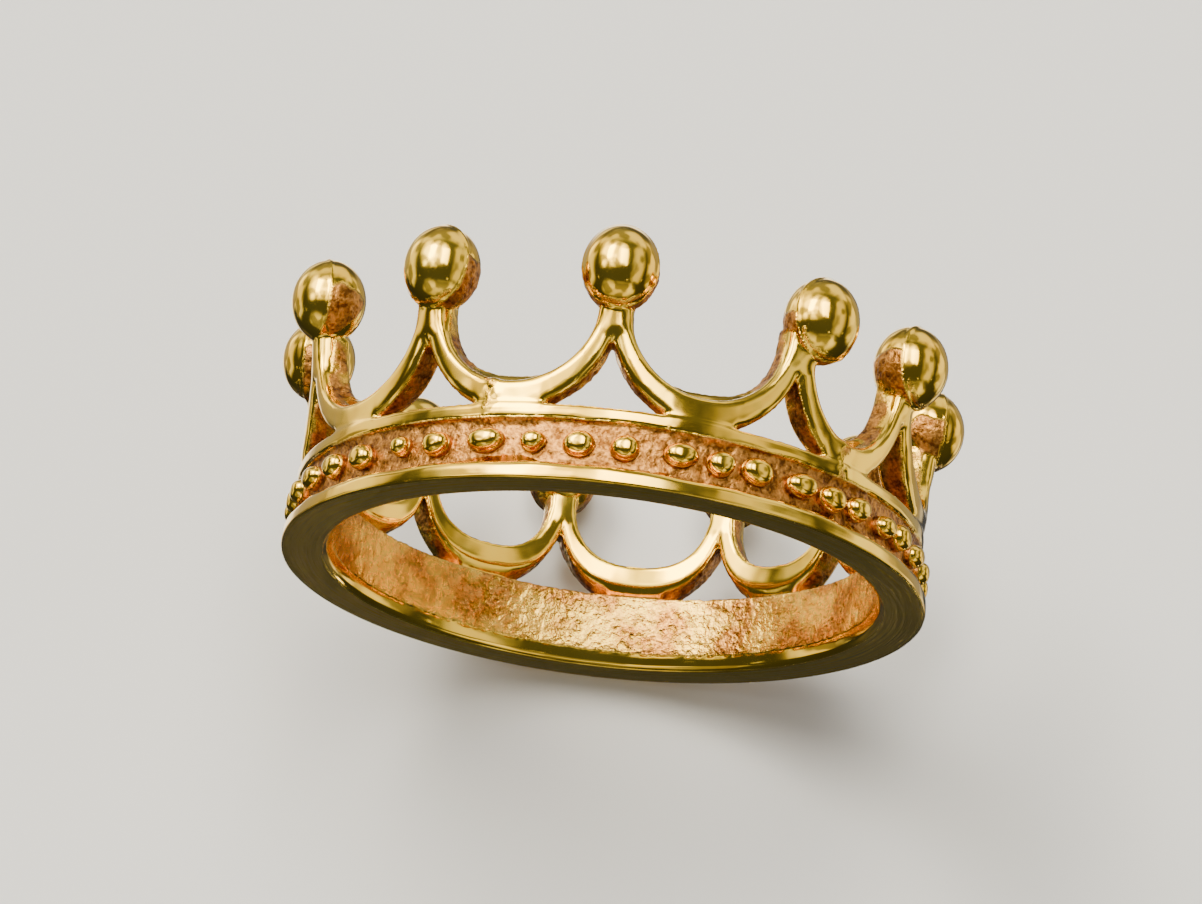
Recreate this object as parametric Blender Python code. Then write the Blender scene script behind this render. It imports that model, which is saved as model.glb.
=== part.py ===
"""Crown finger ring, standing on its flat base with the points up.

Metres, +Z along the ring's axis, origin at the centre of the base. Azimuth 0 looks at the
ring's front (-Y), and azimuths grow towards +X. The ring is a sleeve with two edge rails, a
beaded gallery strip between them, a row of U-shaped scallops on top, and a ball on each
point where two scallops meet. All joints are soldered; a thin film is left between pieces.
"""
import math

import bmesh
import bpy
from mathutils import Vector

MM = 0.001

# Driving dimensions
OUTER_RADIUS = 10.5 * MM
BORE_RADIUS = 8.86 * MM
FILM = 0.05 * MM                    # the solder film between neighbouring pieces

# The band, from the finger outwards and from the base up
FLOOR_RADIUS = 0.94 * OUTER_RADIUS  # outside of the sleeve, where rails and strip are laid
BASE_EDGE_RADIUS = 0.866 * OUTER_RADIUS
COMFORT_EDGE_HEIGHT = 0.43 * MM
LOWER_RAIL_HEIGHT = 0.58 * MM
UPPER_RAIL_RADIUS = 0.975 * OUTER_RADIUS
UPPER_RAIL_BOTTOM = 2.05 * MM
BAND_HEIGHT = 2.52 * MM
RAIL_ROUNDING = 0.14 * MM
BAND_SEGMENTS = 96
COMFORT_EDGE_STEPS = 4
ROUNDING_STEPS = 2

# The beaded strip
STRIP_THICKNESS = 0.12 * MM
STRIP_SEGMENTS = 8
BEADS_PER_STRIP = 4
BEAD_WIDTH = 0.96 * MM
BEAD_HEIGHT = 0.82 * MM
BEAD_CENTRE_HEIGHT = 1.31 * MM
BEAD_CENTRE_RADIUS = 0.968 * OUTER_RADIUS
BEAD_BED_DEPTH = BEAD_CENTRE_RADIUS - FLOOR_RADIUS - 1.5 * FILM     # stops short of the sleeve
BEAD_SEGMENTS = 12
BEAD_RINGS = 7

# The scallops
SCALLOP_INNER_RADIUS = 0.868 * OUTER_RADIUS
SCALLOP_SEAT_RADIUS = 0.915 * OUTER_RADIUS
SCALLOP_OUTER_RADIUS = 0.970 * OUTER_RADIUS
SCALLOP_CENTRE_HEIGHT = 0.555 * OUTER_RADIUS
SCALLOP_DEPTH = 0.240 * OUTER_RADIUS    # from that height down to the top of the trough
SCALLOP_UNDER_DEPTH = 0.330 * OUTER_RADIUS
SCALLOP_TOP = 0.545 * OUTER_RADIUS
NECK_HALF_WIDTH = 0.045 * OUTER_RADIUS
UNDER_OVERHANG = 0.017 * OUTER_RADIUS
SCALLOP_INNER_RISE = 0.050 * OUTER_RADIUS   # the trough is higher on the finger's side
SCALLOP_FLARE = 0.030 * OUTER_RADIUS        # how far the necks stand out past the band
SCALLOP_STEPS = 24
JOINT_STEPS = 5                             # of these at each end, climbing the joint of two scallops
SCALLOP_BEVEL = 0.16 * MM

# The ball finials
BALL_RADIUS = 0.116 * OUTER_RADIUS
BALL_HALF_HEIGHT = 0.133 * OUTER_RADIUS     # the balls are a little taller than they are wide
BALL_CENTRE_HEIGHT = 0.668 * OUTER_RADIUS
BALL_CENTRE_RADIUS = 0.983 * OUTER_RADIUS
BALL_LOWEST_ANGLE = math.radians(-58.0)     # from the ball's equator down to its neck
NECK_HEIGHT = 0.01 * OUTER_RADIUS           # at the least; a low ball is cut off higher up
NECK_RADIUS = 0.055 * OUTER_RADIUS
NECK_CENTRE_RADIUS = 0.950 * OUTER_RADIUS
BALL_SEGMENTS = 18
BALL_RINGS = 10

# The crown's points, by azimuth in degrees. They were spaced by eye, not by an index plate.
POINT_AZIMUTHS = (-73.5, -37.5, -3.1, 31.0, 59.0, 97.5, 127.0, 156.0, 190.0, 222.5, 259.0)
POINT_COUNT = len(POINT_AZIMUTHS)
# The balls were set by hand too: degrees round the ring from the point, then upwards.
BALL_OFFSETS = {1: (1.0, 0.050 * OUTER_RADIUS), 2: (1.2, 0.010 * OUTER_RADIUS),
                4: (3.4, -0.026 * OUTER_RADIUS), 5: (1.2, -0.020 * OUTER_RADIUS),
                6: (1.8, 0.018 * OUTER_RADIUS), 11: (3.0, 0.010 * OUTER_RADIUS)}

GOLD = (0.83, 0.60, 0.16, 1.0)
COPPER_GOLD = (0.55, 0.30, 0.14, 1.0)


def on_ring(radius, azimuth, height):
    """The place at this radius, azimuth (radians) and height."""
    return Vector((radius * math.sin(azimuth), -radius * math.cos(azimuth), height))


def bay(index):
    """Start and end azimuth, in radians, of the bay that starts at this point."""
    start = POINT_AZIMUTHS[index]
    if index + 1 < POINT_COUNT:
        end = POINT_AZIMUTHS[index + 1]
    else:
        end = POINT_AZIMUTHS[0] + 360.0
    return math.radians(start), math.radians(end)


def make_material(name, colour, roughness):
    material = bpy.data.materials.new(name)
    material.use_nodes = True
    shader = material.node_tree.nodes["Principled BSDF"]
    shader.inputs["Base Color"].default_value = colour
    shader.inputs["Metallic"].default_value = 1.0
    shader.inputs["Roughness"].default_value = roughness
    return material


def make_object(name, mesh_builder, material, parent=None):
    """Turn a bmesh into a named, smooth-shaded object."""
    mesh = bpy.data.meshes.new(name)
    bmesh.ops.recalc_face_normals(mesh_builder, faces=mesh_builder.faces)
    mesh_builder.to_mesh(mesh)
    mesh_builder.free()
    mesh.shade_smooth()
    mesh.set_sharp_from_angle(angle=math.radians(35.0))
    mesh.materials.append(material)
    piece = bpy.data.objects.new(name, mesh)
    piece.parent = parent
    bpy.context.scene.collection.objects.link(piece)
    return piece


def skin(builder, sections):
    """Join a row of equal vertex loops with quads."""
    for near, far in zip(sections, sections[1:]):
        for side in range(len(near)):
            following = (side + 1) % len(near)
            builder.faces.new((near[side], near[following], far[following], far[side]))


def skin_and_cap(builder, sections):
    """Join a row of equal vertex loops into a closed bar."""
    skin(builder, sections)
    builder.faces.new(sections[0])
    builder.faces.new(sections[-1])


def section_at(builder, azimuth, profile):
    """New vertices for a profile of (radius, height) points, stood up at this azimuth."""
    return [builder.verts.new(on_ring(radius, azimuth, height)) for radius, height in profile]


def turned_ring(name, profile, material, parent):
    """A closed ring turned from a profile of (radius, height) points."""
    builder = bmesh.new()
    sections = []
    for step in range(BAND_SEGMENTS):
        azimuth = 2.0 * math.pi * step / BAND_SEGMENTS
        sections.append(section_at(builder, azimuth, profile))
    skin(builder, sections + sections[:1])
    return make_object(name, builder, material, parent)


def quarter_arc(centre, size, start, steps):
    """Points of a quarter ellipse round centre, from the start angle (degrees) onwards."""
    points = []
    for step in range(steps + 1):
        angle = math.radians(start + 90.0 * step / steps)
        points.append((centre[0] + size[0] * math.cos(angle), centre[1] + size[1] * math.sin(angle)))
    return points


def make_shank_sleeve(material, parent):
    comfort_centre = (BASE_EDGE_RADIUS, COMFORT_EDGE_HEIGHT)
    comfort_size = (BASE_EDGE_RADIUS - BORE_RADIUS, COMFORT_EDGE_HEIGHT)
    top_centre = (BORE_RADIUS + RAIL_ROUNDING, BAND_HEIGHT - RAIL_ROUNDING)
    profile = quarter_arc(comfort_centre, comfort_size, 180.0, COMFORT_EDGE_STEPS)
    profile += [(FLOOR_RADIUS, 0.0), (FLOOR_RADIUS, BAND_HEIGHT)]
    profile += quarter_arc(top_centre, (RAIL_ROUNDING, RAIL_ROUNDING), 90.0, ROUNDING_STEPS)
    return turned_ring("shank_sleeve", profile, material, parent)


def make_rail(name, outer_radius, bottom, top, material, parent):
    inner_radius = FLOOR_RADIUS + FILM
    rounding = (RAIL_ROUNDING, RAIL_ROUNDING)
    rounded_radius = outer_radius - RAIL_ROUNDING
    profile = [(inner_radius, top), (inner_radius, bottom)]
    profile += quarter_arc((rounded_radius, bottom + RAIL_ROUNDING), rounding, 270.0, ROUNDING_STEPS)
    profile += quarter_arc((rounded_radius, top - RAIL_ROUNDING), rounding, 0.0, ROUNDING_STEPS)
    return turned_ring(name, profile, material, parent)


def add_bead(builder, azimuth):
    """A grain: an ellipsoid, wider round the ring than it is high, and shallower where bedded."""
    half_width = 0.5 * BEAD_WIDTH
    half_height = 0.5 * BEAD_HEIGHT
    bead = bmesh.ops.create_uvsphere(builder, u_segments=BEAD_SEGMENTS, v_segments=BEAD_RINGS,
                                     radius=1.0)
    centre = on_ring(BEAD_CENTRE_RADIUS, azimuth, BEAD_CENTRE_HEIGHT)
    outwards = on_ring(1.0, azimuth, 0.0)
    sideways = Vector((math.cos(azimuth), math.sin(azimuth), 0.0))
    for vertex in bead["verts"]:
        along, height, out = vertex.co
        depth = half_height if out > 0.0 else BEAD_BED_DEPTH
        vertex.co = centre + sideways * along * half_width + outwards * out * depth
        vertex.co.z += height * half_height


def make_bead_strip(number, start, end, material, parent):
    """A curved strip with a row of grains, joined into one body by a Boolean union."""
    inner_radius = FLOOR_RADIUS + FILM
    outer_radius = inner_radius + STRIP_THICKNESS
    bottom = LOWER_RAIL_HEIGHT + FILM
    top = UPPER_RAIL_BOTTOM - FILM
    half_film = 0.5 * FILM / FLOOR_RADIUS
    first, last = start + half_film, end - half_film
    profile = [(inner_radius, bottom), (outer_radius, bottom), (outer_radius, top), (inner_radius, top)]

    builder = bmesh.new()
    sections = []
    for step in range(STRIP_SEGMENTS + 1):
        azimuth = first + (last - first) * step / STRIP_SEGMENTS
        sections.append(section_at(builder, azimuth, profile))
    skin_and_cap(builder, sections)
    strip = make_object(f"bead_strip_{number:02d}", builder, material, parent)

    grains = bmesh.new()
    for bead in range(BEADS_PER_STRIP):
        add_bead(grains, start + (end - start) * (bead + 0.5) / BEADS_PER_STRIP)
    cutter = make_object(f"grains_{number:02d}", grains, material, parent)
    cutter.hide_render = True
    cutter.display_type = "WIRE"
    union = strip.modifiers.new("grains", "BOOLEAN")
    union.operation = "UNION"
    union.solver = "EXACT"
    union.object = cutter
    return strip


def ellipse_drop(across, half_width, depth):
    """How far the lower half of an ellipse hangs below its centre at this distance across."""
    share = min(1.0, abs(across) / half_width)
    return depth * math.sqrt(1.0 - share * share)


def scallop_edges(half_bay):
    """Matched (across, height) points on the top and under edge of a scallop."""
    limit = half_bay - 0.5 * FILM
    top_half_width = half_bay - NECK_HALF_WIDTH
    under_half_width = half_bay + UNDER_OVERHANG
    top_angle = math.acos((SCALLOP_CENTRE_HEIGHT - SCALLOP_TOP) / SCALLOP_DEPTH)
    apex = SCALLOP_CENTRE_HEIGHT - ellipse_drop(limit, under_half_width, SCALLOP_UNDER_DEPTH)
    seat = BAND_HEIGHT + FILM
    hanging_steps = SCALLOP_STEPS - 2 * JOINT_STEPS

    edges = []
    for step in range(SCALLOP_STEPS + 1):
        angle = -top_angle + 2.0 * top_angle * step / SCALLOP_STEPS
        top_height = SCALLOP_CENTRE_HEIGHT - SCALLOP_DEPTH * math.cos(angle)
        upper = (top_half_width * math.sin(angle), top_height)
        from_end = min(step, SCALLOP_STEPS - step)
        side = math.copysign(1.0, step - 0.5 * SCALLOP_STEPS)
        if from_end < JOINT_STEPS:
            climb = 1.0 - from_end / JOINT_STEPS
            under = (side * limit, apex + (SCALLOP_TOP - apex) * climb)
        else:
            across = limit * math.sin(math.pi * ((step - JOINT_STEPS) / hanging_steps - 0.5))
            drop = ellipse_drop(across, under_half_width, SCALLOP_UNDER_DEPTH)
            under = (across, max(SCALLOP_CENTRE_HEIGHT - drop, seat))
        edges.append((upper, under))
    return edges


def scallop_section(upper, under, half_bay):
    """(radius, across, height) corners of the wire between a top point and an under point."""
    bevel = SCALLOP_BEVEL / math.dist(upper, under)
    shoulder = SCALLOP_OUTER_RADIUS - SCALLOP_BEVEL
    corners = ((SCALLOP_INNER_RADIUS, 0.0), (SCALLOP_SEAT_RADIUS, 0.0), (shoulder, 0.0),
               (SCALLOP_OUTER_RADIUS, bevel), (SCALLOP_OUTER_RADIUS, 1.0 - bevel),
               (shoulder, 1.0), (SCALLOP_INNER_RADIUS, 1.0))
    section = []
    for radius, share in corners:
        across = under[0] + (upper[0] - under[0]) * share
        height = under[1] + (upper[1] - under[1]) * share
        flare = SCALLOP_FLARE * (height - BAND_HEIGHT) / (SCALLOP_TOP - BAND_HEIGHT)
        if radius == SCALLOP_INNER_RADIUS:
            near_trough = max(0.0, 1.0 - (across / half_bay) ** 2) ** 2
            height += SCALLOP_INNER_RISE * near_trough
        section.append((radius + flare, across, height))
    return section


def make_scallop(number, start, end, material, parent):
    """A U-shaped wire of the crown, bent round the ring between two points."""
    middle = 0.5 * (start + end)
    half_bay = 0.5 * (end - start) * SCALLOP_OUTER_RADIUS
    builder = bmesh.new()
    sections = []
    for upper, under in scallop_edges(half_bay):
        section = []
        for radius, across, height in scallop_section(upper, under, half_bay):
            azimuth = middle + across / SCALLOP_OUTER_RADIUS
            section.append(builder.verts.new(on_ring(radius, azimuth, height)))
        sections.append(section)
    skin_and_cap(builder, sections)
    return make_object(f"crown_scallop_{number:02d}", builder, material, parent)


def finial_profile(centre_height):
    """(radius, height) points from the foot of the neck up to just below the ball's top."""
    foot = SCALLOP_TOP + FILM
    clearance = (foot + NECK_HEIGHT - centre_height) / BALL_HALF_HEIGHT
    lowest_angle = math.asin(max(math.sin(BALL_LOWEST_ANGLE), clearance))
    profile = [(NECK_RADIUS, foot)]
    for ring in range(BALL_RINGS):
        angle = lowest_angle + (0.5 * math.pi - lowest_angle) * ring / BALL_RINGS
        height = centre_height + BALL_HALF_HEIGHT * math.sin(angle)
        profile.append((BALL_RADIUS * math.cos(angle), height))
    return profile


def make_ball_finial(number, point_azimuth, material, parent):
    """A ball turned with its neck; the neck leans from the point out to the ball."""
    degrees_round, upwards = BALL_OFFSETS.get(number, (0.0, 0.0))
    foot_centre = on_ring(NECK_CENTRE_RADIUS, point_azimuth, 0.0)
    ball_centre = on_ring(BALL_CENTRE_RADIUS, point_azimuth + math.radians(degrees_round), 0.0)
    profile = finial_profile(BALL_CENTRE_HEIGHT + upwards)
    foot = profile[0][1]
    neck_height = profile[1][1] - foot
    spoke_turns = [2.0 * math.pi * step / BALL_SEGMENTS for step in range(BALL_SEGMENTS)]

    builder = bmesh.new()
    rings = []
    for radius, height in profile:
        centre = foot_centre.lerp(ball_centre, min(1.0, (height - foot) / neck_height))
        centre.z = height
        spokes = [on_ring(radius, turn, 0.0) for turn in spoke_turns]
        rings.append([builder.verts.new(centre + spoke) for spoke in spokes])
    skin(builder, rings)
    builder.faces.new(rings[0])
    crest_height = BALL_CENTRE_HEIGHT + upwards + BALL_HALF_HEIGHT
    crest = builder.verts.new((ball_centre.x, ball_centre.y, crest_height))
    for near, far in zip(rings[-1], rings[-1][1:] + rings[-1][:1]):
        builder.faces.new((near, far, crest))
    return make_object(f"ball_finial_{number:02d}", builder, material, parent)


def build_ring():
    for old in list(bpy.data.objects):
        bpy.data.objects.remove(old, do_unlink=True)

    ring = bpy.data.objects.new("crown_ring", None)
    bpy.context.scene.collection.objects.link(ring)
    polished = make_material("polished_gold", GOLD, 0.18)
    recessed = make_material("recessed_gold", COPPER_GOLD, 0.5)

    make_shank_sleeve(polished, ring)
    make_rail("lower_rail", OUTER_RADIUS, 0.0, LOWER_RAIL_HEIGHT, polished, ring)
    make_rail("upper_rail", UPPER_RAIL_RADIUS, UPPER_RAIL_BOTTOM, BAND_HEIGHT, polished, ring)
    for index, azimuth in enumerate(POINT_AZIMUTHS):
        start, end = bay(index)
        make_bead_strip(index + 1, start, end, recessed, ring)
        make_scallop(index + 1, start, end, polished, ring)
        make_ball_finial(index + 1, math.radians(azimuth), polished, ring)


build_ring()
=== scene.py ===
"""The looks of the crown finger ring.

The ring's skin is worked out as one smooth implicit surface, so that the scallops flow into the
band and the necks into the balls as they do on a casting, and is then divided into one closed
piece for each CAD node. Everything is placed from the CAD frame. The surface is computed in
millimetres in ring coordinates (azimuth, radius, height) and turned into metres at the end.
"""
import math
from collections import Counter
from itertools import combinations, product

import bmesh
import bpy
import numpy as np
from mathutils import Matrix, Vector, noise


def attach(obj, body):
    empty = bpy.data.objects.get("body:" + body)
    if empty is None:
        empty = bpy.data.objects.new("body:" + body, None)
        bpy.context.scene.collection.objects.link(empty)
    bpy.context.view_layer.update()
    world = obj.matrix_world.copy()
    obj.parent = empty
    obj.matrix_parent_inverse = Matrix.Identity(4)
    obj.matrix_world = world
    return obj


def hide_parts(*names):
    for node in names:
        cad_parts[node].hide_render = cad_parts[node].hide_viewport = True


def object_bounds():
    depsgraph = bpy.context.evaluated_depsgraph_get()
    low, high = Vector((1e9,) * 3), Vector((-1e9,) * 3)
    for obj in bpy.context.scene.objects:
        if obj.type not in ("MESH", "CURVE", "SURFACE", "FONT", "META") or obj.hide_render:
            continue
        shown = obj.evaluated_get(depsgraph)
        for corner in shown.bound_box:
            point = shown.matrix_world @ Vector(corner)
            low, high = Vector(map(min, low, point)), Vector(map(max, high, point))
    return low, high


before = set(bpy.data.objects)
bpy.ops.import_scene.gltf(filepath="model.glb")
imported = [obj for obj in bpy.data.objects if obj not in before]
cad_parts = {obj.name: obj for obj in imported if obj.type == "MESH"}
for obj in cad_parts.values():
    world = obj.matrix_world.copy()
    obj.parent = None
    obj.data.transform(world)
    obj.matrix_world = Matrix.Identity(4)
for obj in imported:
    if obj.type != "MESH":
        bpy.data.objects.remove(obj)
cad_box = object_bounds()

MM = 0.001
POINTS = 11
TURN = 2.0 * math.pi
STRIP_BACKING = 0.17                         # how far the strip's backing stands off the sleeve


# ---------------------------------------------------------------- the frame, in millimetres

def node_points(name):
    """A CAD node's vertices as (azimuth, radius, height) columns, in radians and millimetres."""
    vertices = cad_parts[name].data.vertices
    flat = np.empty(3 * len(vertices))
    vertices.foreach_get("co", flat)
    x, y, z = flat.reshape(-1, 3).T / MM
    return np.arctan2(x, -y), np.hypot(x, y), z


def span_of(azimuths):
    """Lowest and highest azimuth of points that fill less than half a turn."""
    middle = math.atan2(np.sin(azimuths).mean(), np.cos(azimuths).mean())
    offsets = (azimuths - middle + math.pi) % TURN - math.pi
    return middle + offsets.min(), middle + offsets.max()


def beads_on(name, floor_radius):
    """(azimuth, height, half width, half height, outermost radius) of each grain of a strip."""
    clear_of_floor, gap_between_grains = 0.02, 0.02
    azimuth, radius, height = node_points(name)
    proud = radius > floor_radius + clear_of_floor
    start, _ = span_of(azimuth[proud])
    offsets = (azimuth[proud] - start + math.pi) % TURN - math.pi
    order = np.argsort(offsets)
    offsets, radii, heights = offsets[order], radius[proud][order], height[proud][order]
    breaks = np.flatnonzero(np.diff(offsets) > gap_between_grains) + 1
    beads = []
    for part in np.split(np.arange(len(offsets)), breaks):
        low, high = offsets[part].min(), offsets[part].max()
        middle = start + 0.5 * (low + high)
        half_width = 0.5 * (high - low) * floor_radius
        bottom, top = heights[part].min(), heights[part].max()
        centre, half_height = 0.5 * (bottom + top), 0.5 * (top - bottom)
        beads.append((middle, centre, half_width, half_height, radii[part].max()))
    return beads


_, sleeve_radii, sleeve_heights = node_points("shank_sleeve")
_, rail_radii, rail_heights = node_points("lower_rail")
_, upper_radii, upper_heights = node_points("upper_rail")
_, _, scallop_heights = node_points("crown_scallop_03")

OUTER_RADIUS = rail_radii.max()
BORE_RADIUS = sleeve_radii.min()
SLEEVE_RADIUS = sleeve_radii.max()
BASE_EDGE_RADIUS = sleeve_radii[sleeve_heights < 0.01].min()
COMFORT_EDGE_HEIGHT = sleeve_heights[sleeve_radii < BORE_RADIUS + 0.001].min()
LOWER_RAIL_HEIGHT = rail_heights.max()
UPPER_RAIL_RADIUS = upper_radii.max()
UPPER_RAIL_BOTTOM = upper_heights.min()
BAND_HEIGHT = sleeve_heights.max()
FLOOR_RADIUS = SLEEVE_RADIUS + STRIP_BACKING
SCALLOP_TOP = scallop_heights.max()
BALL_RADIUS = 0.116 * OUTER_RADIUS
BALL_HALF_HEIGHT = 0.133 * OUTER_RADIUS

BAYS = [span_of(node_points(f"crown_scallop_{number:02d}")[0]) for number in range(1, POINTS + 1)]
BAY_MIDDLES = np.array([0.5 * (start + end) for start, end in BAYS])
BAY_HALVES = np.array([0.5 * (end - start) for start, end in BAYS])
POINT_AZIMUTHS = np.array([start for start, _ in BAYS])


def ball_centres():
    """(x, y, z) of each ball in millimetres, from the crest of its CAD node."""
    centres = []
    for number in range(1, POINTS + 1):
        azimuth, radius, height = node_points(f"ball_finial_{number:02d}")
        crest = height.argmax()
        x = radius[crest] * math.sin(azimuth[crest])
        y = -radius[crest] * math.cos(azimuth[crest])
        centres.append((x, y, height[crest] - BALL_HALF_HEIGHT))
    return np.array(centres)


BALLS = ball_centres()
BALLS_REACH = np.hypot(BALLS[:, 0], BALLS[:, 1]).max() + BALL_RADIUS


# ---------------------------------------------------------------- the ring's implicit surface

def soft_min(first, second, reach):
    """The lower of two fields, blended into a fillet where they are within reach."""
    blend = np.clip(0.5 + 0.5 * (second - first) / reach, 0.0, 1.0)
    return second + (first - second) * blend - reach * blend * (1.0 - blend)


def soft_max(first, second, reach):
    return -soft_min(-first, -second, reach)


def smooth_step(value, low, high):
    share = np.clip((value - low) / (high - low), 0.0, 1.0)
    return share * share * (3.0 - 2.0 * share)


def turned_box(radius, height, inner, outer, bottom, top, rounding):
    """Distance to a ring of rectangular section with rounded corners."""
    across = np.abs(radius - 0.5 * (inner + outer)) - 0.5 * (outer - inner) + rounding
    up = np.abs(height - 0.5 * (bottom + top)) - 0.5 * (top - bottom) + rounding
    outside = np.hypot(np.maximum(across, 0.0), np.maximum(up, 0.0))
    return outside + np.minimum(np.maximum(across, up), 0.0) - rounding


def ripple(azimuth, seed):
    """A slow hand-made waviness round the ring, about -1 to 1."""
    random = np.random.default_rng(seed)
    total = np.zeros_like(azimuth)
    for wave in (3, 5, 8, 13, 21, 34):
        total += random.uniform(0.3, 0.6) * np.sin(wave * azimuth + random.uniform(0.0, TURN))
    return total / 1.3


HALF_ROOT_TWO = 0.7071

# Roundings and fillets of the band, in millimetres.
SLEEVE_ROUNDING = 0.06
LOWER_RAIL_ROUNDING = 0.07
UPPER_RAIL_ROUNDING = 0.11
COMFORT_EDGE_RELIEF = 0.03
COMFORT_EDGE_FILLET = 0.18
RAIL_CHAMFER = 0.10
RAIL_CHAMFER_FILLET = 0.12
RAIL_FILLET = 0.06
RAIL_KEY = 0.4                               # how far the rails run on inside the sleeve
LOWER_RAIL_RIPPLE = 0.035
UPPER_RAIL_RIPPLE = 0.03


def band_field(azimuth, radius, height):
    """The sleeve, the channel floor and the two rails."""
    rail_inside = SLEEVE_RADIUS - RAIL_KEY
    sleeve = turned_box(radius, height, BORE_RADIUS, FLOOR_RADIUS, 0.0, BAND_HEIGHT,
                        SLEEVE_ROUNDING)
    edge_run = BASE_EDGE_RADIUS - BORE_RADIUS
    edge_length = math.hypot(edge_run, COMFORT_EDGE_HEIGHT)
    edge = (COMFORT_EDGE_HEIGHT * (BASE_EDGE_RADIUS - radius) - edge_run * height) / edge_length
    sleeve = soft_max(sleeve, edge - COMFORT_EDGE_RELIEF, COMFORT_EDGE_FILLET)
    lower_top = LOWER_RAIL_HEIGHT + LOWER_RAIL_RIPPLE * ripple(azimuth, 3)
    lower = turned_box(radius, height, rail_inside, OUTER_RADIUS, 0.0, lower_top,
                       LOWER_RAIL_ROUNDING)
    past_corner = (radius - OUTER_RADIUS + height - lower_top) * HALF_ROOT_TWO
    lower = soft_max(lower, past_corner + RAIL_CHAMFER, RAIL_CHAMFER_FILLET)
    upper_bottom = UPPER_RAIL_BOTTOM + UPPER_RAIL_RIPPLE * ripple(azimuth, 5)
    upper = turned_box(radius, height, rail_inside, UPPER_RAIL_RADIUS, upper_bottom, BAND_HEIGHT,
                       UPPER_RAIL_ROUNDING)
    return soft_min(soft_min(sleeve, lower, RAIL_FILLET), upper, RAIL_FILLET)


def ellipse_field(across, below, half_width, depth):
    """Distance to the lower half of an ellipse that goes on upwards as two upright walls."""
    down = np.minimum(below, 0.0)
    reach = np.sqrt((across / half_width) ** 2 + (down / depth) ** 2) + 1e-6
    slope = np.hypot(across / half_width ** 2, down / depth ** 2) / reach + 1e-6
    return (reach - 1.0) / slope


# The scallops, as in the CAD.
SCALLOP_OUTER_RADIUS = 0.970 * OUTER_RADIUS
SCALLOP_SEAT_RADIUS = 0.915 * OUTER_RADIUS
SCALLOP_INNER_RADIUS = 0.868 * OUTER_RADIUS
SCALLOP_CENTRE_HEIGHT = 0.555 * OUTER_RADIUS
SCALLOP_DEPTH = 0.240 * OUTER_RADIUS
SCALLOP_UNDER_DEPTH = 0.330 * OUTER_RADIUS
SCALLOP_INNER_RISE = 0.052 * OUTER_RADIUS
SCALLOP_FLARE = 0.030 * OUTER_RADIUS
SCALLOP_CUT_HEIGHT = 0.60 * OUTER_RADIUS     # the wires are cut off here, inside the balls
NECK_HALF_WIDTH = 0.045 * OUTER_RADIUS
UNDER_OVERHANG = 0.017 * OUTER_RADIUS

# The stubs that fill the root of each V, between the scallops and the band.
STUB_HALF_WIDTH = 0.10 * OUTER_RADIUS
STUB_RADIUS = 0.928 * OUTER_RADIUS
STUB_HALF_THICKNESS = 0.034 * OUTER_RADIUS
STUB_HALF_HEIGHT = 0.055 * OUTER_RADIUS


def flare_at(height):
    share = (height - BAND_HEIGHT) / (SCALLOP_TOP - BAND_HEIGHT)
    return SCALLOP_FLARE * np.clip(share, 0.0, 1.2)


def scallop_in_plane(azimuth, radius, height, bay):
    """The U of one bay seen face on, running on a little past both of its points."""
    half_bay = BAY_HALVES[bay] * SCALLOP_OUTER_RADIUS
    across = ((azimuth - BAY_MIDDLES[bay] + math.pi) % TURN - math.pi) * SCALLOP_OUTER_RADIUS
    depth = SCALLOP_SEAT_RADIUS + flare_at(height) - radius
    inwards = np.clip(depth / (SCALLOP_SEAT_RADIUS - SCALLOP_INNER_RADIUS), 0.0, 1.3)
    near_trough = np.clip(1.0 - (across / half_bay) ** 2, 0.0, 1.0) ** 2
    below = height - SCALLOP_INNER_RISE * near_trough * inwards - SCALLOP_CENTRE_HEIGHT
    hollow = ellipse_field(across, below, half_bay - NECK_HALF_WIDTH, SCALLOP_DEPTH)
    under = ellipse_field(across, below, half_bay + UNDER_OVERHANG, SCALLOP_UNDER_DEPTH)
    return across, np.maximum(under, -hollow)


def scallops_field(azimuth, radius, height, point):
    """The two U-shaped wires that meet at a point, and the stubs that join them to the band."""
    first, before = scallop_in_plane(azimuth, radius, height, point - 1)
    second, after = scallop_in_plane(azimuth, radius, height, point)
    in_plane = soft_min(before, after, 0.16)
    outside = radius - SCALLOP_OUTER_RADIUS - flare_at(height)
    inside = SCALLOP_INNER_RADIUS + flare_at(height) - radius
    wires = soft_max(soft_max(in_plane, outside, 0.30), inside, 0.24)
    wires = soft_max(wires, height - SCALLOP_CUT_HEIGHT, 0.1)
    stub_across = np.minimum(np.abs(first), np.abs(second)) - STUB_HALF_WIDTH
    stub_through = np.abs(radius - STUB_RADIUS) - STUB_HALF_THICKNESS
    stub_up = np.abs(height - BAND_HEIGHT) - STUB_HALF_HEIGHT
    stub = soft_max(soft_max(stub_across, stub_through, 0.2), stub_up, 0.1)
    return soft_min(wires, stub, 0.22)


# The balls' raised ridge and the necks.
RIDGE_HEIGHT = 0.035
RIDGE_HALF_WIDTH = 0.075
RIDGE_OFFSET = 0.22                          # outwards from the ball's middle, as a sine
BALL_RELIEF = 0.015
NECK_RADIUS = 0.050 * OUTER_RADIUS
NECK_FOOT_RADIUS = 0.948 * OUTER_RADIUS
NECK_FOOT_HEIGHT = 0.50 * OUTER_RADIUS


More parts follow.
